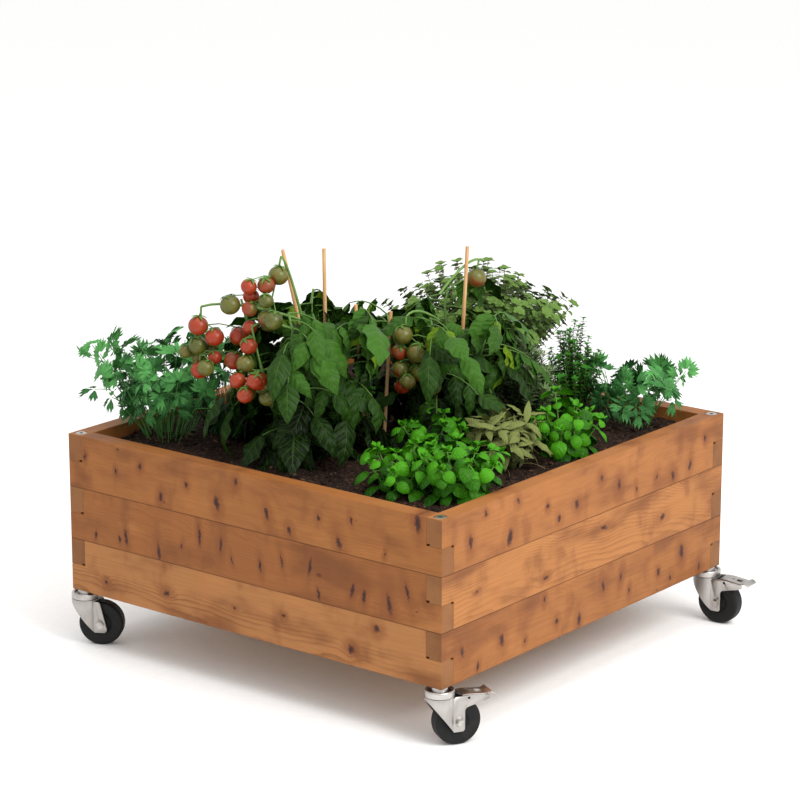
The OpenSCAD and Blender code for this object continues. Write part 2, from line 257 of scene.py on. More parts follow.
def larch(name, seed, look, knots, end_grain, joint_at):
    """Oiled larch. X runs along the board, Y through it and Z up it. The next course's joint,
    if there is one, is at a height, and painted shade darkens the groove there and along
    the board's lower edge."""
    tint, contrast, heart, climb, fade_height = look
    g = Graph(name, specular=0.22)
    place = g.place()
    local = g.shift(place, (seed * 1.7, seed * 0.31, seed * 0.57))
    height = g.split(place)[2]
    knot = knot_distance(g, place, knots)
    late = growth_rings(g, place, local, knot, heart, climb)
    late = g.times(late, g.step(height, fade_height - 0.02, fade_height, 1.0, 0.12))

    fibre = g.noise(g.stretch(local, (9.0, 420.0, 420.0)), 1.0, 3.0, 0.65)
    streak = g.noise(g.stretch(local, (2.2, 150.0, 150.0)), 1.0, 2.0)
    patch = g.noise(g.stretch(local, (4.5, 11.0, 13.0)), 1.0, 3.0)
    stain = g.noise(g.stretch(local, (14.0, 20.0, 9.0)), 1.0, 3.0)
    cloud = g.noise(g.stretch(local, (16.0, 4.0, 5.0)), 1.0, 2.0)

    colour = g.mix(g.step(patch, 0.48, 0.70, 0.0, 0.8), ink(tint), ink("7f4f2e"))
    colour = g.over(colour, "c88f5c", patch, 0.44, 0.26, 0.5)
    colour = g.over(colour, "7c4a2b", stain, 0.54, 0.74, 0.55)
    colour = g.over(colour, "bf7f4c", cloud, 0.45, 0.8, 0.3)
    colour = g.mix(g.times(late, contrast), colour, ink("74431f"))
    shade = g.step(fibre, 0.25, 0.75, 0.90, 1.05)
    grey = g.node("CombineXYZ", {0: shade, 1: shade, 2: shade}).outputs[0]
    colour = g.mix(1.0, colour, grey, "MULTIPLY")
    colour = g.over(colour, "7a4624", streak, 0.68, 0.80, 0.4)

    pins = g.node("TexVoronoi", {"Vector": g.stretch(local, (15.0, 3.0, 26.0)), "Scale": 1.0})
    pin_chance = g.split(pins.outputs["Color"])[0]
    pin_size = g.step(pin_chance, 0.72, 1.0, 0.0, 0.10)
    pin = g.step(g.less(pins.outputs["Distance"], pin_size), 0.0, 0.03, 1.0, 0.0)
    pin = g.times(pin, g.step(pin_chance, 0.72, 0.78))
    colour = g.mix(g.times(pin, 0.7), colour, ink("5b3020"))

    halo = g.times(g.step(knot, 1.0, 3.4, 1.0, 0.0), g.step(stain, 0.3, 0.6, 0.25, 0.75))
    colour = g.mix(halo, colour, ink("8a5530"))
    inside = g.ramp(
        g.math("DIVIDE", knot, 1.5), (0.0, ink("33201f")), (0.3, ink("452927")),
        (0.52, ink("5c3428")), (0.72, ink("75462a")), (1.0, ink("85542f")))
    grain = g.noise(g.stretch(place, (600.0, 600.0, 190.0)), 1.0, 3.0)
    ragged = g.plus(knot, g.times(grain, 0.9))
    colour = g.mix(g.step(ragged, 0.95, 1.65, 1.0, 0.0), colour, inside)

    if end_grain:
        speck = g.noise(place, 900.0, 2.0)
        colour = g.mix(0.5, colour, ink("7d5c42"))
        colour = g.over(colour, "62432e", speck, 0.4, 0.75, 0.35)
    # painted shade: darkens the groove along each board's lower edge and at the next course's joint
    painted_groove_shade = g.step(height, 0.0, 0.0022, 1.0, 0.0)
    if joint_at:
        painted_groove_shade = g.math("MAXIMUM", painted_groove_shade, g.step(height, joint_at - JOINT_SHADE_HEIGHT, joint_at))
    colour = g.mix(g.times(painted_groove_shade, 0.6), colour, ink("54301a"))
    colour = g.mix(1.0, colour, OIL, "MULTIPLY")
    g.relief(g.plus(g.times(late, 0.5), fibre), 0.00035, 0.6)
    return g.done(colour, g.step(fibre, 0.2, 0.8, 0.62, 0.46))


def cutter(name, shape):
    """A hidden solid that is cut out of a board, from a bmesh-filling function."""
    bm = bmesh.new()
    shape(bm)
    return placed(name, mesh_of(bm, name))


def applied(piece):
    """Replaces the piece's mesh with what its modifiers make of it."""
    graph = bpy.context.evaluated_depsgraph_get()
    mesh = bpy.data.meshes.new_from_object(piece.evaluated_get(graph))
    piece.modifiers.clear()
    piece.data = mesh
    return piece


def board_mesh(name, length, thick, height, low_tongue, seats):
    """A board with half-lapped ends, eased edges, bolt holes and clearance notches, and with
    seats for the sleeve nuts' flanges if they sit in its top."""
    lap = height / 2
    end = length / 2
    root = end - thick
    outline = [(-end, 0), (end, 0), (end, lap), (root, lap), (root, height), (-root, height),
               (-root, lap), (-end, lap)]
    if not low_tongue:
        outline = [(x, height - z) for x, z in reversed(outline)]
    bm = bmesh.new()
    face = bm.faces.new([bm.verts.new((x, -thick / 2, z)) for x, z in outline])
    made = bmesh.ops.extrude_face_region(bm, geom=[face])["geom"]
    far = [v for v in made if isinstance(v, bmesh.types.BMVert)]
    bmesh.ops.translate(bm, verts=far, vec=(0, thick, 0))
    bmesh.ops.recalc_face_normals(bm, faces=bm.faces)
    bmesh.ops.bevel(
        bm, geom=bm.edges[:], offset=1.3 * MM, segments=2, profile=0.6, affect="EDGES")
    piece = placed(name, mesh_of(bm, name))

    def bore(bm, x, z, radius, depth):
        bmesh.ops.create_cone(
            bm, cap_ends=True, segments=32, radius1=radius, radius2=radius, depth=depth,
            matrix=Matrix.Translation((x, 0, z)))

    def holes(bm):
        for side in (-1, 1):
            x = side * (end - thick / 2)
            bore(bm, x, height / 2, BOLT_HOLE, height * 1.2)
            if seats:
                bore(bm, x, height, FLANGE_SEAT, 2 * FLANGE_SEAT_DEPTH)
            notch_z = lap + NOTCH_HEIGHT / 2 * (-1 if low_tongue else 1)
            spot = Matrix.Translation((x, thick / 2 - 4 * MM, notch_z))
            size = Matrix.Diagonal((thick * 1.3, NOTCH_WIDTH, NOTCH_HEIGHT, 1))
            bmesh.ops.create_cube(bm, size=1.0, matrix=spot @ size)

    tool = cutter(name + "_cut", holes)
    cut = piece.modifiers.new("cut", "BOOLEAN")
    cut.object = tool
    cut.operation = "DIFFERENCE"
    cut.use_self = True
    applied(piece)
    bpy.data.objects.remove(tool)
    return piece


def make_boards():
    for turn, side in enumerate(("front", "right", "back", "left")):
        for course in ("low", "mid", "top"):
            node = f"board_{side}_{course}"
            low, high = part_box(node)
            size = high - low
            long_way = max(size.x, size.y)
            thick = min(size.x, size.y)
            name = f"larch_{side}_{course}"
            low_tongue = side in ("front", "back")
            seats = course == "top" and not low_tongue
            piece = board_mesh(name, long_way, thick, size.z, low_tongue, seats)
            seen = OPPOSITE.get(side, side)
            seed = turn * 3 + ("low", "mid", "top").index(course) + 1
            knots = grown_knots(
                seed + KNOT_SEED, (long_way - 2 * thick) / MM, size.z / MM, KNOT_HABITS[seen, course])
            for end_grain in (False, True):
                piece.data.materials.append(larch(
                    name + ("_end" if end_grain else ""), seed, BOARD_LOOKS[seen, course], knots,
                    end_grain, size.z if course != "top" else None))
            for face in piece.data.polygons:
                face.material_index = 1 if abs(face.normal.x) > 0.9 else 0
            piece.location = ((low.x + high.x) / 2, (low.y + high.y) / 2, low.z)
            piece.rotation_euler.z = turn * math.pi / 2
            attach(piece, BODY)
            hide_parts(node)


def plain_wood(name, tint, dark):
    """Sawn softwood of the hidden floor."""
    g = Graph(name, specular=0.3)
    place = g.place()
    fibre = g.noise(g.stretch(place, (8.0, 160.0, 160.0)), 1.0, 3.0)
    band = g.noise(g.stretch(place, (1.5, 38.0, 38.0)), 1.0, 2.0)
    colour = g.mix(g.step(band, 0.35, 0.65), ink(tint), ink(dark))
    colour = g.over(colour, "7c5632", fibre, 0.45, 0.8, 0.5)
    g.relief(fibre, 0.0006, 0.8)
    return g.done(colour, g.step(fibre, 0.2, 0.8, 0.6, 0.8))


# ---------------------------------------------------------------- casters

def metal(name, tint, dark, roughness, grain=60.0):
    """Zinc-plated steel: satin, faintly clouded, with fine scratches and a dull bloom."""
    g = Graph(name, metallic=1.0)
    place = g.place()
    cloud = g.noise(place, grain, 4.0)
    scratch = g.noise(g.stretch(place, (240.0, 240.0, 1600.0)), 1.0, 2.0)
    speck = g.noise(place, 1400.0, 2.0)
    colour = g.mix(g.step(cloud, 0.35, 0.7), ink(tint), ink(dark))
    colour = g.over(colour, "8b8782", speck, 0.62, 0.8, 0.35)
    rough = g.plus(g.step(cloud, 0.2, 0.8, roughness, roughness + 0.12),
                   g.step(scratch, 0.5, 0.8, 0.0, 0.1))
    g.relief(g.plus(scratch, cloud), 0.00012, 0.35)
    return g.done(colour, rough)


def moulded(name, tint, roughness, scale):
    """Black rubber or plastic with a fine moulded grain and some dust."""
    g = Graph(name, specular=0.25)
    place = g.place()
    grain = g.noise(place, scale, 3.0)
    dust = g.noise(place, 34.0, 4.0)
    colour = g.mix(g.step(dust, 0.5, 0.85, 0.0, 0.3), ink(tint), ink("383532"))
    g.relief(grain, 0.0002, 0.6)
    return g.done(colour, g.step(grain, 0.2, 0.8, roughness - 0.08, roughness + 0.1))


def softened(node, body, material, ease):
    """A copy of a pressed steel part whose edges are rounded, as a press leaves them."""
    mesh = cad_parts[node].data.copy()
    mesh.name = node + "_pressed"
    bm = bmesh.new()
    bm.from_mesh(mesh)
    bmesh.ops.remove_doubles(bm, verts=bm.verts, dist=WELD)
    bmesh.ops.dissolve_limit(
        bm, angle_limit=math.radians(1.5), verts=bm.verts, edges=bm.edges)
    bm.to_mesh(mesh)
    bm.free()
    piece = placed(node + "_pressed", mesh)
    bevel = piece.modifiers.new("ease", "BEVEL")
    bevel.width = ease
    bevel.segments = 2
    bevel.angle_limit = math.radians(40)
    bevel.harden_normals = True
    applied(piece)
    piece.data.materials.clear()
    piece.data.materials.append(material)
    piece.data.shade_smooth()
    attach(piece, body)
    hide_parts(node)
    return piece


def finish_casters():
    zinc = metal("pressed_zinc", "b4b0ac", "a8a4a0", 0.32, 24.0)
    head = metal("head_zinc", "bdb9b5", "a9a5a1", 0.26, 30.0)
    bolt = metal("bolt_zinc", "bdb9b3", "9f9b95", 0.26)
    # painted shade: the brake pins are near black to stand for the shade in their holes
    pin_hole_shade = metal("pin_painted_hole_shade", "2c2a28", "1d1b1a", 0.4)
    pedal = metal("pedal_zinc", "bdb9b4", "a8a49f", 0.28, 30.0)
    tyre = moulded("tyre_rubber", "131313", 0.6, 900.0)
    core = moulded("wheel_plastic", "171717", 0.48, 700.0)
    shoe = moulded("shoe_rubber", "2e2d2b", 0.6, 900.0)
    for corner in ("front_right", "front_left", "back_right", "back_left"):
        softened("fork_" + corner, "fork_" + corner, zinc, 0.5 * MM)
        softened("caster_head_" + corner, BODY, head, 0.4 * MM)
        for node, material in (("axle_", bolt), ("wheel_core_", core), ("tyre_", tyre)):
            give(node + corner, material)
    for corner in ("front_right", "back_right"):
        softened("brake_pedal_" + corner, "pedal_" + corner, pedal, 0.5 * MM)
        give("brake_pin_" + corner, pin_hole_shade)
        give("brake_shoe_" + corner, shoe)
    for node in ("tie_bolts", "sleeve_nuts", "slat_screws", "swivel_balls"):
        give(node, bolt)


def give(node, material):
    """Sets the material of a CAD node that is shown as it is."""
    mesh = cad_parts[node].data
    mesh.materials.clear()
    mesh.materials.append(material)


# ---------------------------------------------------------------- soil

def earth(name):
    g = Graph(name, specular=0.18)
    place = g.place()
    big = g.noise(place, 22.0, 4.0, 0.6)
    crumb = g.noise(place, 160.0, 4.0, 0.7)
    fleck = g.node("TexVoronoi", {"Vector": place, "Scale": 260.0})
    fibre = g.noise(g.stretch(place, (40.0, 190.0, 120.0)), 1.0, 3.0, 0.6)
    colour = g.ramp(
        crumb, (0.28, ink("0e0907")), (0.5, ink("251912")), (0.62, ink("39271c")),
        (0.8, ink("563d2c")))
    colour = g.over(colour, "1b110c", big, 0.4, 0.7, 0.6)
    pick = g.split(fleck.outputs["Color"])[0]
    colour = g.over(colour, "5f4230", pick, 0.86, 0.92, 0.5)
    colour = g.over(colour, "453226", fibre, 0.62, 0.74, 0.5)
    g.relief(g.plus(crumb, g.times(fibre, 0.6)), 0.004, 0.9)
    return g.done(colour, 0.9)


def soil_height(x, y):
    """Height of the soil's surface over its mean, with a low mound left of the middle."""
    mound = 0.016 * math.exp(-((x + 0.12) ** 2 + (y + 0.12) ** 2) / 0.055)
    spot = Vector((x, y, 0.0))
    lumps = 0.009 * noise.fractal(spot * 16, 0.7, 2.1, 3)
    clods = 0.006 * abs(noise.noise(spot * 50 + Vector((3, 5, 7))))
    ridges = 0.004 * (0.5 - abs(noise.noise(Vector((x * 34, y * 95, 2.0)))))
    grit = 0.0018 * noise.fractal(spot * 190, 0.6, 2.0, 2)
    return mound + lumps + clods + ridges + grit - 0.004


def make_soil():
    """The soil's surface as a fine height field over closed sides."""
    cells = 250
    xs = np.linspace(soil_low.x, soil_high.x, cells + 1)
    ys = np.linspace(soil_low.y, soil_high.y, cells + 1)
    points = [(x, y, soil_high.z + soil_height(x, y)) for y in ys for x in xs]
    side = cells + 1
    faces = []
    for j in range(cells):
        for i in range(cells):
            a = j * side + i
            faces.append((a, a + 1, a + side + 1, a + side))
    ring = list(range(side)) + [j * side + cells for j in range(1, side)]
    ring += [cells * side + i for i in range(cells - 1, -1, -1)]
    ring += [j * side for j in range(cells - 1, 0, -1)]
    base = len(points)
    points += [(points[k][0], points[k][1], soil_low.z) for k in ring]
    for n in range(len(ring)):
        m = (n + 1) % len(ring)
        faces.append((ring[m], ring[n], base + n, base + m))
    faces.append(tuple(range(base + len(ring) - 1, base - 1, -1)))
    mesh = bpy.data.meshes.new("soil_surface")
    mesh.from_pydata(points, [], faces)
    layer = mesh.uv_layers.new(name="OFBake")
    span = soil_high - soil_low
    co = np.array([v.co for v in mesh.vertices])
    flat = (co[:, :2] - np.array(soil_low[:2])) / np.array(span[:2])
    loops = np.zeros(len(mesh.loops), int)
    mesh.loops.foreach_get("vertex_index", loops)
    layer.data.foreach_set("uv", (0.02 + 0.96 * flat[loops]).ravel())
    mesh.shade_smooth()
    piece = placed("soil_surface", mesh)
    mesh.materials.append(earth("potting_soil"))
    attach(piece, BODY)
    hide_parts("soil")


def chip_skin(name):
    """Bits of bark and peat: the atlas row sets how light each one is."""
    g = Graph(name, roughness=0.9, specular=0.15)
    uv = g.atlas()
    row = g.math("FLOOR", g.split(uv)[1])
    fibre = g.noise(g.stretch(uv, (26.0, 5.0, 1.0)), 1.0, 4.0, 0.7)
    level = g.plus(g.math("DIVIDE", row, ATLAS - 1.0), g.step(fibre, 0.3, 0.7, -0.25, 0.25))
    colour = g.ramp(level, (0.0, ink("150d09")), (0.6, ink("3a281d")), (1.0, ink("6b4e3a")))
    g.relief(fibre, 0.002, 0.9)
    return g.done(colour, g.step(fibre, 0.2, 0.8, 0.95, 0.8))


def scatter_chips():
    """Crumbs and slivers of bark that lie on the soil."""
    clump = Clump("soil_chips", 91)
    rng = clump.rng
    ball = quad_ball(1)
    margin = 0.012
    for _ in range(2600):
        x = rng.uniform(soil_low.x + margin, soil_high.x - margin)
        y = rng.uniform(soil_low.y + margin, soil_high.y - margin)
        long_half = 0.0022 + 0.0065 * rng.random() ** 2.5
        sizes = (long_half * rng.uniform(0.3, 0.8), long_half, long_half * rng.uniform(0.2, 0.5))
        spot = (x, y, soil_high.z + soil_height(x, y) + sizes[2] * 0.5)
        way = heading(rng.uniform(0, 2 * math.pi), rng.uniform(-0.35, 0.35))
        clump.lump(ball, spot, sizes, way, (rng.uniform(-0.4, 0.4), 0, 1), 0.99 * rng.random() ** 2)
    clump.build((chip_skin("bark_chips"),))


# ---------------------------------------------------------------- plants

def basis(direction, up=(0, 0, 1)):
    """Rows of a turned frame: across, along the direction, and out of the leaf's face."""
    along = np.asarray(direction, float)
    along = along / np.linalg.norm(along)
    across = np.cross(along, up)
    if np.linalg.norm(across) < 1e-4:
        across = np.cross(along, (1, 0, 0.2))
    across = across / np.linalg.norm(across)
    return np.array([across, along, np.cross(across, along)])


def blade(rows, outline, width, cup=0.0, puff=0.0, droop=0.8, ripple=0.0, waves=3.0, columns=4,
          comb=0.0):
    """A leaf of length 1 along +Y with its face up, and where each point is on it. Cup lifts
    its margins, puff its middle, and droop bends it down."""
    t = np.linspace(0, 1, rows + 1)[:, None]
    s = np.linspace(-1, 1, columns + 1)[None, :]
    x = s * width * outline(t)
    angle = droop * t
    teeth = 1 + comb * t ** 3 * (-1.0) ** np.arange(columns + 1)[None, :]
    y = np.sin(angle) / droop * teeth
    z = (np.cos(angle) - 1) / droop * teeth
    hump = np.sin(np.pi * t)
    lift = cup * np.abs(x) + puff * hump * (1 - s ** 2)
    lift = lift + ripple * np.sin(waves * 2 * np.pi * t + 1.7 * np.sign(s)) * s ** 2 * hump
    points = np.stack([x + 0 * t, y + lift * np.sin(angle), z + lift * np.cos(angle)], -1)
    spots = np.stack([0.5 + 0.5 * s + 0 * t, t + 0 * s], -1)
    side = columns + 1
    a = (np.arange(rows)[:, None] * side + np.arange(columns)[None, :]).ravel()
    faces = np.stack([a, a + 1, a + side + 1, a + side], -1)
    return points.reshape(-1, 3), faces, spots.reshape(-1, 2)


def ovate(t):
    return 0.04 * (1 - t) + np.sin(np.pi * np.clip(t, 0, 1) ** 0.82) ** 0.62 * 0.97 + 0.01


def wavy(t):
    """Broad near the stalk, then drawn out to a point, with a softly lobed margin."""
    body = np.sin(np.pi * np.clip(t, 0, 1) ** 0.66) ** 0.85
    return 0.03 + body * (1 + 0.06 * np.sin(20 * t + 0.6))


def lance(t):
    return np.sin(np.pi * np.clip(t, 0.02, 0.98) ** 0.85) ** 0.75


def needle(t):
    return 0.55 + 0.45 * np.sin(np.pi * np.clip(t, 0.05, 0.95))


def round_leaf(t):
    return np.sin(np.pi * np.clip(t, 0.015, 0.985) ** 0.9) ** 0.55


def wedge(t):
    return 0.14 + 0.86 * t ** 0.8


def quad_ball(cuts):
    """A unit sphere of quads, with its top at +Z, and spots by distance from the top."""
    bm = bmesh.new()
    bmesh.ops.create_cube(bm, size=2.0)
    bmesh.ops.subdivide_edges(bm, edges=bm.edges[:], cuts=cuts, use_grid_fill=True)
    points = np.array([v.co for v in bm.verts])
    faces = np.array([[v.index for v in f.verts] for f in bm.faces])
    bm.free()
    points = points / np.linalg.norm(points, axis=1)[:, None]
    polar = np.arccos(np.clip(points[:, 2], -1, 1)) / np.pi
    turn = np.arctan2(points[:, 1], points[:, 0])
    spots = 0.5 + 0.5 * np.stack([polar * np.cos(turn), polar * np.sin(turn)], -1)
    return points, faces, spots


class Clump:
    """Collects the leaves, stems and fruit of one piece, and makes one mesh of them."""

    def __init__(self, name, seed):
        self.name = name
        self.rng = random.Random(seed)
        self.points = []
        self.faces = []
        self.spots = []
        self.finish = []
        self.count = 0

    def add(self, points, faces, spots, cell, finish=0):
        self.points.append(points)
        self.faces.append(faces + self.count)
        self.spots.append(0.04 + 0.92 * spots + np.array(cell))
        self.finish.append(np.full(len(faces), finish))
        self.count += len(points)

    def cell(self, light):
        """A cell of the atlas: its row grows lighter with light, from 0 to 1; for leaves this is
        painted shade and light, for fruit their ripeness and for bark chips their own tone.
        """
        row = min(ATLAS - 1, max(0, int(light * ATLAS)))
        column = self.rng.randrange(ATLAS if row != STEM_CELL[1] else ATLAS - 1)
        return column, row

    def leaf(self, shape, origin, direction, size, light=0.5, up=(0, 0, 1)):
        points, faces, spots = shape
        placed = points * size @ basis(direction, up) + np.asarray(origin)
        self.add(placed, faces, spots, self.cell(light))

    def lump(self, shape, centre, sizes, direction, up, light):
        """A ball stretched across, along its direction, and out of it."""
        points, faces, spots = shape
        placed = points * np.array(sizes) @ basis(direction, up) + np.asarray(centre)
        self.add(placed, faces, spots, self.cell(light))

    def tube(self, path, start_r, end_r, sides=6):
        """A stem along a path, thinner towards its closed tip."""
        path = np.asarray(path, float)
        along = np.gradient(path, axis=0)
        turn = np.linspace(0, 2 * np.pi, sides, endpoint=False)[:, None]
        rings, spots = [], []
        for k, (centre, way) in enumerate(zip(path, along)):
            share = k / (len(path) - 1)
            radius = start_r + (end_r - start_r) * share
            axes = basis(way, (0.3, 0.2, 0.93))
            rings.append(centre + radius * (np.cos(turn) * axes[0] + np.sin(turn) * axes[2]))
            spots.append(np.hstack([0.5 + 0.5 * np.cos(turn), np.full((sides, 1), share)]))
        faces = []
        for k in range(len(path) - 1):
            for i in range(sides):
                j = (i + 1) % sides
                low, high = k * sides, (k + 1) * sides
                faces.append((low + i, low + j, high + j, high + i))
        last = (len(path) - 1) * sides
        faces += [(last, last + i, last + i + 1, last + i + 2) for i in range(1, sides - 2, 2)]
        self.add(np.concatenate(rings), np.array(faces), np.concatenate(spots), STEM_CELL, 1)

    def build(self, materials, nodes=()):
        points = np.concatenate(self.points)
        faces = np.concatenate(self.faces)
        spots = np.concatenate(self.spots)
        mesh = bpy.data.meshes.new(self.name)
        mesh.from_pydata(points.tolist(), [], faces.tolist())
        finish = np.concatenate(self.finish).astype(np.int32)
        mesh.polygons.foreach_set("material_index", finish)
        loops = np.zeros(len(mesh.loops), int)
        mesh.loops.foreach_get("vertex_index", loops)
        for name, share in (("OFBake", 1 / ATLAS), ("leaf", 1.0)):
            layer = mesh.uv_layers.new(name=name)
            layer.data.foreach_set("uv", (spots[loops] * share).ravel())
        for material in materials:
            mesh.materials.append(material)
        mesh.shade_smooth()
        piece = placed(self.name, mesh)
        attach(piece, BODY)
        if nodes:
            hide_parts(*nodes)


def cell_of(g, uv):
    """The place in its cell, the cell's row, and a chance value for each cell."""
    u, v, _ = g.split(uv)
    column, row = g.math("FLOOR", u), g.math("FLOOR", v)
    cell = g.node("CombineXYZ", {0: column, 1: row}).outputs[0]
    chance = g.node("TexWhiteNoise", {"Vector": cell}, noise_dimensions="2D").outputs["Value"]
    return g.math("FRACT", u), g.math("FRACT", v), column, row, chance


def foliage(name, dark, light, vein, gloss=0.45, veins=7.0, slant=3.0, quilt=0.0012,
            vein_show=0.45, odd=None):
    """A leaf's face: midrib, side veins, quilting between them, and mottling. The atlas row
    sets how light it is, as painted shade and light from where the leaf sits on its plant;
    each cell differs a little, and one cell may take an odd colour."""
    g = Graph(name, roughness=gloss, specular=0.09)
    uv = g.atlas()
    u, t, column, row, chance = cell_of(g, uv)
    s = g.math("ABSOLUTE", g.less(u, 0.5))
    # painted shade and light: the row darkens leaves low in a plant and lightens those on top
    level = g.plus(g.math("DIVIDE", row, ATLAS - 1.0), g.step(chance, 0.0, 1.0, -0.16, 0.16))
    mottle = g.noise(uv, 9.0, 4.0, 0.6)
    level = g.plus(level, g.step(mottle, 0.25, 0.75, -0.12, 0.12))
    colour = g.ramp(level, (0.0, ink(dark)), (1.0, ink(light)))
    if odd:
        here = g.times(g.math("COMPARE", column, 1.0, 0.5), g.math("COMPARE", row, 2.0, 0.5))
        colour = g.mix(g.times(here, 0.85), colour, ink(odd))
    rib = g.step(s, 0.0, 0.045, 1.0, 0.0)
    phase = g.less(g.times(t, veins), g.times(s, slant))
    away = g.math("ABSOLUTE", g.less(g.math("FRACT", phase), 0.5))
    lines = g.math("MAXIMUM", rib, g.step(away, 0.0, 0.13, 0.7, 0.0))
    colour = g.mix(g.times(lines, vein_show), colour, ink(vein))
    colour = g.mix(g.step(s, 0.40, 0.5, 0.0, 0.25), colour, ink(dark))
    pillow = g.less(g.step(away, 0.0, 0.5), g.times(rib, 0.8))
    g.relief(g.plus(pillow, g.times(mottle, 0.3)), quilt, 0.7)
    return g.done(colour, g.step(mottle, 0.2, 0.8, gloss - 0.08, gloss + 0.1))


def stalk(name, dark, light, roughness=0.5):
    """Green or woody stem with fine ribs along it."""
    g = Graph(name, roughness=roughness, specular=0.35)
    uv = g.atlas()
    band = g.noise(g.stretch(uv, (30.0, 5.0, 1.0)), 1.0, 3.0)
    colour = g.mix(g.step(band, 0.3, 0.7), ink(dark), ink(light))
    g.relief(band, 0.0004, 0.7)
    return g.done(colour, g.step(band, 0.2, 0.8, roughness - 0.08, roughness + 0.1))


def arch(start, direction, length, sag, steps=5):
    """Points of a stem that leaves along a direction and sags under its own weight."""
    start = np.asarray(start, float)
    way = np.asarray(direction, float)
    way = way / np.linalg.norm(way)
    share = np.linspace(0, 1, steps)[:, None]
    return start + way * length * share + np.array([0, 0, -sag * length]) * share ** 2


def heading(angle, rise):
    flat = math.cos(rise)
    return np.array([math.cos(angle) * flat, math.sin(angle) * flat, math.sin(rise)])


def along(path, share):
    """The point at a share of a path's steps, and the way the path runs there."""
    at = share * (len(path) - 1)
    index = min(len(path) - 2, int(at))
    way = path[index + 1] - path[index]
    return path[index] + way * (at - index), way


def solids_of(node):
    """The low and high corners of each separate solid of a node."""
    bm = bmesh.new()
    bm.from_mesh(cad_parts[node].data)
    bmesh.ops.remove_doubles(bm, verts=bm.verts, dist=WELD)
    left = set(bm.verts)
    found = []
    while left:
        group = [left.pop()]
        for vert in group:
            for edge in vert.link_edges:
                other = edge.other_vert(vert)
                if other in left:
                    left.discard(other)
                    group.append(other)
        co = np.array([v.co for v in group])
        found.append((co.min(0), co.max(0)))
    bm.free()
    return sorted(found, key=lambda box: (round(float(box[0][0]), 3), float(box[0][2])))


def plants_of(node):
    """Each plant of a node: its foot's middle, its radius and its height."""
    for low, high in solids_of(node):
        foot = np.array([*(low + high)[:2] / 2, soil_high.z])
        yield foot, (high[0] - low[0]) / 2, high[2] - soil_high.z


def ring_spot(centre, angle, reach):
    return centre + np.array([math.cos(angle), math.sin(angle), 0.0]) * reach


def facing(centre, spot, lift):
    """The way a leaf at a spot turns its face: from the plant's middle, and up."""
    flat = (spot - centre) * np.array([1, 1, 0])
    return flat / (np.linalg.norm(flat) + 1e-6) + np.array([0, 0, lift])


def make_basil():
    shapes = [blade(7, ovate, 0.38, puff=0.14, droop=d, ripple=0.012) for d in (0.4, 0.8, 1.2)]
    clump = Clump("basil_leaves", 11)
    rng = clump.rng
    stems = 12
    for centre, radius, height in plants_of("basil"):
        for k in range(stems):
            angle = k * GOLDEN + rng.uniform(-0.3, 0.3)
            out = math.sqrt((k + 0.5) / stems)
            foot = ring_spot(centre, angle, radius * out * 0.55)
            lean = 1.4 - 0.5 * out
            length = height * rng.uniform(0.70, 1.0) * (1.0 - 0.30 * out)
            path = arch(foot, heading(angle, lean), length, 0.0, 6)
            clump.tube(path, 0.0022, 0.0012)
            nodes = max(3, int(length / 0.020))
            for n in range(nodes):
                share = (n + 1.1) / (nodes + 0.2)
                spot = along(path, share)[0]
                turn = angle + (math.pi / 2) * (n % 2) + rng.uniform(-0.35, 0.35)
                for half in (0, math.pi):
                    size = rng.triangular(0.026, 0.062, 0.042) * (1.15 - 0.4 * share)
                    way = heading(turn + half, rng.uniform(-1.1, -0.2) + 0.55 * share)
                    tip = spot + way * size * 0.22
                    clump.tube([spot, tip], 0.0011, 0.0008, 4)
                    # painted shade and light: leaves low on a stem take darker rows, higher ones
                    # lighter
                    light = (0.22 + 0.5 * share) * rng.uniform(0.6, 1.4)
                    face = facing(centre, tip, rng.uniform(0.5, 1.4))
                    clump.leaf(rng.choice(shapes), tip, way, size, light, face)
            # painted light: the leaves at the stem's tip take a light row
            for n in range(4):
                way = heading(angle + n * 1.6, rng.uniform(0.5, 1.3))
                face = way * np.array([-1, -1, 0]) + np.array([0, 0, 1])
                clump.leaf(shapes[0], path[-1], way, 0.018 * rng.uniform(0.8, 1.25), 0.9, face)
    clump.build(
        (foliage("basil_leaf", "0e3305", "418713", "62a42c", 0.32, 5.0, 3.2, 0.0008, 0.16),
         stalk("basil_stem", "3c6f1e", "66943a")), ["basil"])


def covers(spot, bunches):
    """Whether something at a spot hangs in front of a bunch, seen from outside the plant."""
    for middle, outward in bunches:
        gap = spot - middle
        reach = float(gap @ outward)
        if reach > -0.05 and np.linalg.norm(gap - outward * reach) < 0.088:
            return True
    return False


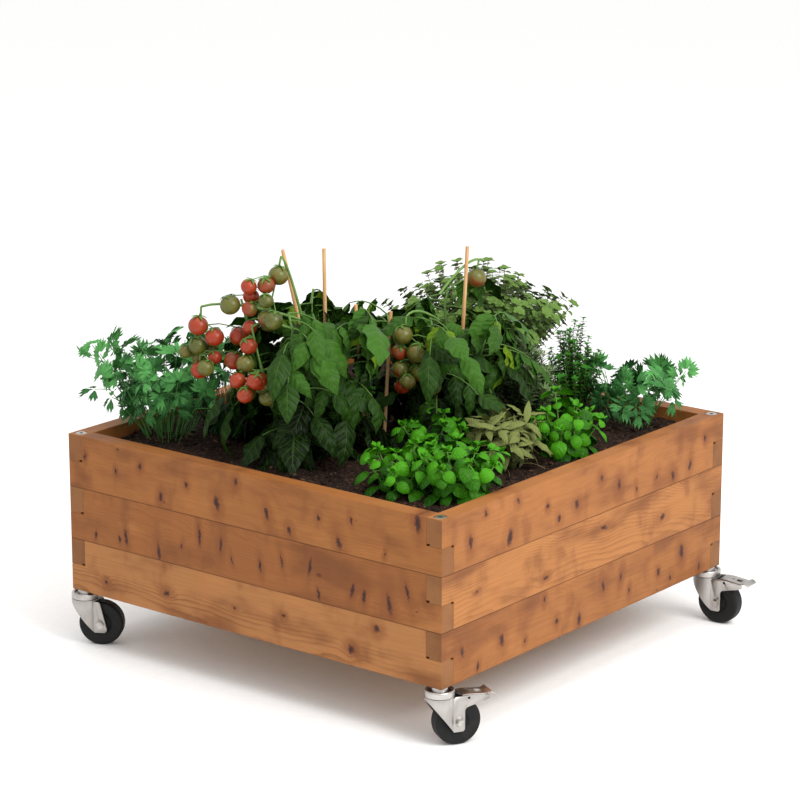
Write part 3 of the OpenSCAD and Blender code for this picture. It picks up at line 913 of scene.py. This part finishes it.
def make_tomatoes(bunches):
    """Stems with arching leaves of drooping leaflets, and none that covers a bunch of fruit."""
    shapes = [
        blade(12, wavy, 0.17 + 0.03 * k, cup=-0.6 + 0.1 * k, droop=1.7 - 0.3 * k, ripple=0.05,
              waves=2.2) for k in range(4)]
    finishes = (
        foliage("tomato_leaf", "050f02", "355c1a", "5f8038", 0.42, 6.0, 2.4, 0.0018, 0.2, "5c7812"),
        stalk("tomato_stem", "2f5219", "5f8236"))
    stems = 4
    for node, seed, leaves, share_of_height in (
            ("tomato_left", 5, 140, 0.94), ("tomato_right", 8, 124, 0.80)):
        centre, radius, height = next(plants_of(node))
        clear = []
        for bunch in bunches:
            middle = np.mean(bunch, axis=0)
            outward = (middle - centre) * np.array([1, 1, 0])
            clear.append((middle, outward / np.linalg.norm(outward)))
        clump = Clump(node + "_plant", seed)
        rng = clump.rng
        paths = []
        for k in range(stems):
            angle = k * 2 * math.pi / stems + 0.5
            foot = ring_spot(centre, angle, radius * 0.4)
            length = height * share_of_height * rng.uniform(0.9, 1.03)
            path = arch(foot, heading(angle, 1.3), length, 0.03, 9)
            path[1:-1:2] += ring_spot(np.zeros(3), angle + 1.5, 0.006)
            paths.append(path)
            clump.tube(path, 0.0066, 0.0026, 7)
        for k in range(leaves):
            share = 0.10 + 0.90 * (k + 0.5) / leaves
            foot, _ = along(paths[k % stems], share)
            angle = k * GOLDEN + rng.uniform(-0.4, 0.4)
            rise = rng.uniform(-0.1, 0.5) + 0.2 * share
            length = rng.uniform(0.06, 0.12)
            path = arch(foot, heading(angle, rise), length, rng.uniform(0.3, 0.7), 6)
            if covers(path[-1], clear):
                continue
            clump.tube(path, 0.0020, 0.0011, 5)
            # painted shade and light: leaves low on the plant take rows near black, higher ones
            # lighter
            light = 0.02 + 0.72 * share ** 1.3
            for part in (0.45, 0.75, 1.0):
                spot, way = along(path, part)
                flat = math.atan2(way[1], way[0])
                for side in ((-1, 1) if part < 1 else (0,)):
                    turn = flat + side * rng.uniform(0.7, 1.2)
                    drop = rng.uniform(-1.0, -0.15) if side else rng.uniform(-0.7, 0.0)
                    size = rng.uniform(0.062, 0.096) if side else rng.uniform(0.085, 0.13)
                    leaf_way = heading(turn, drop)
                    if covers(spot + leaf_way * size * 0.6, clear):
                        continue
                    face = facing(centre, spot, rng.uniform(0.4, 1.3))
                    clump.leaf(rng.choice(shapes), spot, leaf_way, size,
                               light * rng.uniform(0.6, 1.35), face)
        clump.build(finishes, [node])


def fruit_skin(name):
    """Ripening skin: the atlas row sets the colour, from olive green to brick red, and each
    fruit is greener round its stalk."""
    g = Graph(name, roughness=0.36, specular=0.35)
    g.shader.inputs["Coat Weight"].default_value = 0.06
    g.shader.inputs["Coat Roughness"].default_value = 0.2
    uv = g.atlas()
    u, v, _, row, chance = cell_of(g, uv)
    across = g.less(u, 0.5)
    down = g.less(v, 0.5)
    square = g.plus(g.times(across, across), g.times(down, down))
    polar = g.math("SQRT", square)
    blotch = g.noise(uv, 3.0, 2.0)
    ripe = g.plus(g.math("DIVIDE", row, ATLAS - 1.0), g.step(chance, 0.0, 1.0, -0.12, 0.12))
    ripe = g.plus(ripe, g.step(polar, 0.05, 0.46, -0.16, 0.12))
    ripe = g.plus(ripe, g.step(blotch, 0.3, 0.7, -0.2, 0.2))
    colour = g.ramp(
        ripe, (0.0, ink("4c521c")), (0.36, ink("636026")), (0.55, ink("72401c")),
        (0.75, ink("863518")), (1.0, ink("983013")))
    speck = g.noise(uv, 60.0, 2.0)
    colour = g.over(colour, "a67c40", speck, 0.6, 0.8, 0.18)
    g.relief(speck, 0.0003, 0.25)
    return g.done(colour, g.step(blotch, 0.2, 0.8, 0.28, 0.4))


def fruit_bunches():
    """The middles of the CAD fruits, in one list for each bunch."""
    bunches = []
    for low, high in solids_of("tomato_fruit"):
        middle = (low + high) / 2
        for bunch in bunches:
            if min(np.linalg.norm(middle - other) for other in bunch) < 0.06:
                bunch.append(middle)
                break
        else:
            bunches.append([middle])
    return bunches


def push_apart(centres, sizes):
    """Moves balls until none of them overlaps another."""
    for _ in range(60):
        for i in range(len(centres)):
            for j in range(i):
                gap = centres[i] - centres[j]
                apart = np.linalg.norm(gap) + 1e-9
                need = (sizes[i] + sizes[j]) * 1.01
                if apart < need:
                    push = gap / apart * (need - apart) / 2
                    centres[i] += push
                    centres[j] -= push


def make_fruit(bunches):
    """Fruits round the spots of the CAD's, more of them and pushed apart, each on its stalk
    under a green star."""
    fruits = Clump("tomato_bunches", 21)
    stars = Clump("tomato_stalks", 22)
    rng = fruits.rng
    ball = quad_ball(7)
    sepal = blade(5, lance, 0.16, cup=0.4, droop=1.0)
    plants = [next(plants_of(node)) for node in ("tomato_left", "tomato_right")]
    for bunch in bunches:
        centres = [spot.copy() for spot in bunch]
        if len(bunch) > 1:
            for _ in range(int(len(bunch) * 1.3)):
                sway = np.array([rng.uniform(-1, 1) for _ in range(3)]) * (0.045, 0.045, 0.04)
                centres.append(rng.choice(bunch) + sway)
        sizes = [rng.uniform(0.0155, 0.0225) for _ in centres]
        push_apart(centres, sizes)
        top = max(centres, key=lambda spot: spot[2]) + np.array([0, 0.01, 0.04])
        low = min(centres, key=lambda spot: spot[2]) + np.array([0, 0, 0.02])
        line = arch(top, low - top, float(np.linalg.norm(low - top)) + 0.001, 0.08, 7)
        stars.tube(line, 0.0026, 0.0016, 5)
        centre, _, height = min(plants, key=lambda plant: np.linalg.norm((plant[0] - top)[:2]))
        stem = np.array([centre[0], centre[1], min(top[2] - 0.03, centre[2] + height * 0.8)])
        knee = stem * 0.3 + top * 0.7 + np.array([0, 0, 0.03])
        part = np.linspace(0, 1, 8)[:, None]
        reach = stem * (1 - part) ** 2 + knee * 2 * part * (1 - part) + top * part ** 2
        stars.tube(reach, 0.0034, 0.0026, 6)
        for k, (centre, size) in enumerate(zip(centres, sizes)):
            up = np.array([rng.uniform(-0.5, 0.5), rng.uniform(-0.5, 0.5), 1.0])
            up = up / np.linalg.norm(up)
            across = np.cross(up, (0.3, 1, 0.1))
            ripe = rng.choice((0.0, 0.1, 0.3, 0.3, 0.3, 0.55, 0.8, 0.95))
            fruits.lump(ball, centre, (size, size, size * 0.94), across, up, ripe)
            crown = centre + up * size * 0.92
            near = line[np.argmin(np.linalg.norm(line - crown, axis=1))]
            knee = (crown + near) / 2 + np.array([0, 0, 0.006])
            stars.tube([near, knee, crown], 0.0014, 0.0012, 4)
            turn = basis(across, up)
            for n in range(5):
                angle = n * 2 * math.pi / 5 + k
                way = turn[0] * math.cos(angle) + turn[1] * math.sin(angle) + up * 0.25
                stars.leaf(sepal, crown, way, size * 0.95, 0.95, up)
    fruits.build((fruit_skin("tomato_skin"),), ["tomato_fruit"])
    stars.build(
        (foliage("tomato_star", "34571c", "5f863a", "7d9c55", 0.5),
         stalk("truss_stem", "426c26", "74964a")))


def fan(clump, shapes, spot, way, face, size, count, light):
    """Leaflets spread in one plane from the end of a stalk."""
    rng = clump.rng
    axes = basis(way, face)
    for k in range(count):
        angle = 1.35 * (2 * k / (count - 1) - 1) + rng.uniform(-0.12, 0.12)
        direction = axes[1] * math.cos(angle) + axes[0] * math.sin(angle)
        clump.leaf(rng.choice(shapes), spot + direction * size * 0.2, direction,
                   size * rng.uniform(0.8, 1.15), light * rng.uniform(0.75, 1.25), axes[2])


def make_parsley():
    """Upright stalks with fans of jagged leaflets."""
    shapes = [
        blade(5, wedge, 0.50, cup=c, droop=0.6, columns=6, comb=0.24, ripple=0.10)
        for c in (-0.3, 0.15)]
    finishes = (
        foliage("parsley_leaf", "163f1f", "559a50", "78b56a", 0.45, 3.0, 5.0, 0.001, 0.25),
        stalk("parsley_stem", "2b6228", "5f9648"))
    for node, seed, stems, reach in (("parsley_left", 31, 50, 1.0), ("parsley_right", 37, 20, 0.85)):
        centre, _, height = next(plants_of(node))
        clump = Clump(node + "_plant", seed)
        rng = clump.rng
        for k in range(stems):
            angle = k * GOLDEN
            out = math.sqrt((k + 0.5) / stems)
            foot = ring_spot(centre, angle, 0.05 * rng.uniform(0.2, 1.2))
            rise = 1.52 - 0.55 * out + rng.uniform(-0.1, 0.1)
            length = height * reach * (0.42 + 0.62 * rng.random())
            path = arch(foot, heading(angle, rise), length, rng.uniform(0.0, 0.15), 7)
            clump.tube(path, 0.0014, 0.0009, 4)
            # painted shade and light: short stems low in the clump take darker rows, tall ones
            # lighter
            light = (0.1 + 0.7 * length / height) * rng.uniform(0.7, 1.2)
            end, way = along(path, 1.0)
            way = way / np.linalg.norm(way) + heading(rng.uniform(0, 6.28), rng.uniform(-1.2, 0.2))
            face = facing(centre, end, rng.uniform(-0.2, 1.2))
            fan(clump, shapes, end, way, face, 0.030 * rng.uniform(0.8, 1.15), 5, light)
            for part in (0.62, 0.80):
                fork, _ = along(path, part)
                turn = angle + rng.uniform(-1.6, 1.6)
                twig_way = heading(turn, rng.uniform(0.2, 1.0))
                twig = arch(fork, twig_way, rng.uniform(0.02, 0.045), 0.15, 4)
                clump.tube(twig, 0.0010, 0.0007, 4)
                face = facing(centre, twig[-1], rng.uniform(-0.2, 1.2))
                droop_way = twig_way + np.array([0, 0, rng.uniform(-1.2, 0.3)])
                # painted shade: the side fans take darker rows than the stem's end
                fan(clump, shapes, twig[-1], droop_way, face, 0.025 * rng.uniform(0.8, 1.2), 3,
                    light * 0.8)
        clump.build(finishes, [node])


def make_chives():
    centre, radius, height = next(plants_of("chives"))
    clump = Clump("chives_plant", 41)
    rng = clump.rng
    for k in range(190):
        angle = k * GOLDEN
        foot = ring_spot(centre, angle, 0.034 * math.sqrt(rng.random()))
        way = heading(angle, rng.uniform(0.95, 1.55))
        path = arch(foot, way, height * rng.uniform(0.4, 0.95), rng.uniform(0, 0.35), 6)
        clump.tube(path, 0.0016, 0.0006, 4)
    clump.build(
        (foliage("chive_tip", "102c12", "2c5a2a", "427540"),
         stalk("chive_blade", "0e2810", "326030", 0.4)), ["chives"])


def sprig(clump, shapes, path, pitch, size, tilt, light, tip=0):
    """Pairs of small leaves up a wiry stem, and a whorl at its tip; painted shade makes the low
    leaves darker and painted light the tip's whorl lighter.
    """
    rng = clump.rng
    length = float(np.linalg.norm(np.diff(path, axis=0), axis=1).sum())
    count = max(2, int(length / pitch))
    for n in range(count):
        share = 0.2 + 0.8 * (n + 0.5) / count
        spot, way = along(path, share)
        axes = basis(way)
        turn = n * math.pi / 2 + rng.uniform(-0.4, 0.4)
        for half in (0, math.pi):
            out = axes[0] * math.cos(turn + half) + axes[2] * math.sin(turn + half)
            direction = out * math.cos(tilt) + axes[1] * math.sin(tilt)
            # painted shade and light: leaves low on the stem take darker rows, those near its tip
            # lighter
            clump.leaf(rng.choice(shapes), spot, direction, size * rng.uniform(0.75, 1.25),
                       light * (0.2 + 0.8 * share ** 2) * rng.uniform(0.75, 1.25), axes[1])
    axes = basis(path[-1] - path[-2])
    for n in range(tip):
        turn = n * 2 * math.pi / tip
        out = axes[0] * math.cos(turn) + axes[2] * math.sin(turn)
        # painted light: the tip's whorl takes the lightest row
        clump.leaf(rng.choice(shapes), path[-1], out + 0.6 * axes[1], size * 1.1, 0.99, axes[1])


def grow_bush(clump, centre, radius, height, stems, shapes, pitch, size, tilt, tip, sag,
              wire=0.0011, flat_top=0.35):
    """Leafy stems that fan out from a foot to a dome."""
    rng = clump.rng
    for k in range(stems):
        angle = k * GOLDEN + rng.uniform(-0.2, 0.2)
        out = math.sqrt((k + 0.5) / stems)
        foot = ring_spot(centre, angle, radius * 0.22 * rng.random())
        reach = radius * out * rng.uniform(0.8, 1.05)
        dome = math.sqrt(max(flat_top, 1 - 0.85 * out * out))
        top = height * dome * rng.uniform(0.72, 1.05)
        way = np.array([math.cos(angle) * reach, math.sin(angle) * reach, top])
        path = arch(foot, way, float(np.linalg.norm(way)), sag * out, 8)
        sway = [[rng.uniform(-1, 1) * 0.004 for _ in range(3)] for _ in range(6)]
        path[1:-1] += np.array(sway)
        clump.tube(path, wire, wire * 0.6, 4)
        # painted shade and light: stems in the bush's middle take darker rows, outer ones lighter
        sprig(clump, shapes, path, pitch, size, tilt, 0.55 + 0.4 * out, tip)


def make_herbs():
    centre, radius, height = next(plants_of("oregano"))
    clump = Clump("oregano_plant", 51)
    coin = [blade(4, round_leaf, 0.42, cup=0.2, droop=d) for d in (0.3, 0.8)]
    grow_bush(clump, centre, radius * 1.4, height * 1.04, 240, coin, 0.016, 0.0145, 0.35, 6, 0.10,
              flat_top=0.6)
    clump.build(
        (foliage("oregano_leaf", "0f1f0a", "5f7c3a", "7c9854", 0.55, 4.0, 2.0, 0.0008, 0.2),
         stalk("oregano_stem", "4a3f2a", "6b6340")), ["oregano"])

    clump = Clump("thyme_plant", 55)
    dot = [blade(3, round_leaf, 0.32, cup=0.3, droop=0.4)]
    centre, radius, height = next(plants_of("thyme"))
    grow_bush(clump, centre, radius * 1.25, height, 64, dot, 0.0062, 0.0095, 0.4, 4, 0.0)
    foot_low, foot_high = solids_of("stakes")[2]
    near_stake = np.array([*(foot_low + foot_high)[:2] / 2, soil_high.z])
    grow_bush(clump, near_stake, 0.035, 0.20, 9, dot, 0.0075, 0.0085, 0.4, 4, 0.0)
    clump.build(
        (foliage("thyme_leaf", "0f300c", "336c20", "4f8534", 0.5, 3.0, 2.0, 0.0006, 0.2),
         stalk("thyme_stem", "55532c", "7a8144")), ["thyme"])

    clump = Clump("rosemary_plant", 57)
    pin = [blade(3, needle, 0.08, cup=-0.5, droop=d, columns=2) for d in (0.2, 0.5)]
    centre, radius, height = next(plants_of("rosemary"))
    grow_bush(clump, centre, radius * 1.2, height, 60, pin, 0.0036, 0.019, 0.75, 5, 0.0)
    clump.build(
        (foliage("rosemary_leaf", "232f1c", "667d4e", "83966a", 0.6, 1.0, 0.0, 0.0004, 0.3),
         stalk("rosemary_stem", "5a4c34", "7a6b4a")), ["rosemary"])

    clump = Clump("sage_plant", 59)
    tongue = [blade(8, lance, 0.15, cup=-0.3, droop=d, ripple=0.02) for d in (0.5, 1.1, 1.7)]
    centre, radius, height = next(plants_of("sage"))
    grow_bush(clump, centre, radius * 1.05, height, 22, tongue, 0.030, 0.050, 0.35, 3, 0.1)
    for k in range(26):
        turn = k * GOLDEN
        twig = arch(ring_spot(centre, turn, 0.02), heading(turn, clump.rng.uniform(0.3, 1.2)),
                    radius * clump.rng.uniform(0.8, 1.5), 0.5, 6)
        clump.tube(twig, 0.0008, 0.0005, 4)
    clump.build(
        (foliage("sage_leaf", "262b17", "6d7540", "8a8f5c", 0.75, 9.0, 2.5, 0.0014, 0.3),
         stalk("sage_stem", "75663c", "9c8c5c")), ["sage"])


def bamboo(name):
    """Split bamboo: pale straw with long fibres."""
    g = Graph(name, specular=0.4)
    place = g.place()
    fibre = g.noise(g.stretch(place, (900.0, 900.0, 22.0)), 1.0, 3.0)
    cloud = g.noise(g.stretch(place, (60.0, 60.0, 9.0)), 1.0, 2.0)
    colour = g.mix(g.step(cloud, 0.3, 0.7), ink("dcb27e"), ink("c08e5c"))
    colour = g.over(colour, "a5713f", fibre, 0.5, 0.8, 0.5)
    g.relief(fibre, 0.0003, 0.6)
    return g.done(colour, g.step(fibre, 0.2, 0.8, 0.42, 0.58))


def liner_sheet(name):
    g = Graph(name, specular=0.3)
    weave = g.noise(g.stretch(g.place(), (500.0, 500.0, 500.0)), 1.0, 2.0)
    colour = g.mix(g.step(weave, 0.35, 0.65), ink("1b1b1b"), ink("2d2c2b"))
    g.relief(weave, 0.0004, 0.6)
    return g.done(colour, g.step(weave, 0.2, 0.8, 0.5, 0.7))


# ---------------------------------------------------------------- stage

def floor_finish():
    g = Graph("pale_floor", specular=0.1)
    grain = g.noise(g.place(), 60.0, 3.0)
    return g.done(g.mix(g.step(grain, 0.3, 0.7), ink("fefefd"), ink("fbfbfa")), 0.9)


def make_floor():
    bm = bmesh.new()
    bmesh.ops.create_grid(bm, x_segments=8, y_segments=8, size=12.0)
    floor = placed("floor", mesh_of(bm, "floor"))
    floor.data.materials.append(floor_finish())


def aim(piece, target, azimuth, elevation, distance):
    """Puts a lamp or camera round a target and points it there. Azimuth 0 is the front, and
    both angles are in degrees."""
    turn, rise = math.radians(azimuth), math.radians(elevation)
    flat = math.cos(rise)
    away = Vector((math.sin(turn) * flat, -math.cos(turn) * flat, math.sin(rise)))
    piece.location = Vector(target) + away * distance
    piece.rotation_euler = (-away).to_track_quat("-Z", "Y").to_euler()


def softbox(name, azimuth, elevation, distance, size, power):
    """A square soft light that looks at the planter's middle."""
    data = bpy.data.lights.new(name, "AREA")
    data.shape = "SQUARE"
    data.size = size
    data.energy = power
    aim(placed(name, data), (0, 0, 0.4), azimuth, elevation, distance)


def light_studio():
    world = bpy.data.worlds.new("studio")
    bpy.context.scene.world = world
    world.use_nodes = True
    background = world.node_tree.nodes["Background"]
    background.inputs["Color"].default_value = (1, 1, 1, 1)
    background.inputs["Strength"].default_value = 1.0
    softbox("key", 82, 40, 4.0, 2.2, 112)
    softbox("fill", -25, 30, 4.5, 2.6, 4)
    softbox("top", 20, 80, 3.6, 2.6, 35)
    bpy.context.scene.view_settings.view_transform = "Standard"


def place_camera():
    """The camera looks at the planter's middle axis from the front right, far back."""
    data = bpy.data.cameras.new("camera")
    data.lens = 135.8
    data.sensor_width = 36.0
    data.clip_end = 50.0
    camera = placed("camera", data)
    aim(camera, (0, 0, 0.541), 38.45, 15.085, 6.714)
    bpy.context.scene.camera = camera


place_camera()
light_studio()
make_floor()
make_boards()
finish_casters()
for floor_node in ("floor_bearers", "floor_slats"):
    give(floor_node, plain_wood(floor_node + "_wood", "b98d5c", "a3784a"))
give("liner", liner_sheet("liner_sheet"))
give("stakes", bamboo("split_bamboo"))
make_soil()
scatter_chips()
bunches = fruit_bunches()
make_fruit(bunches)
make_tomatoes(bunches)
make_basil()
make_parsley()
make_chives()
make_herbs()
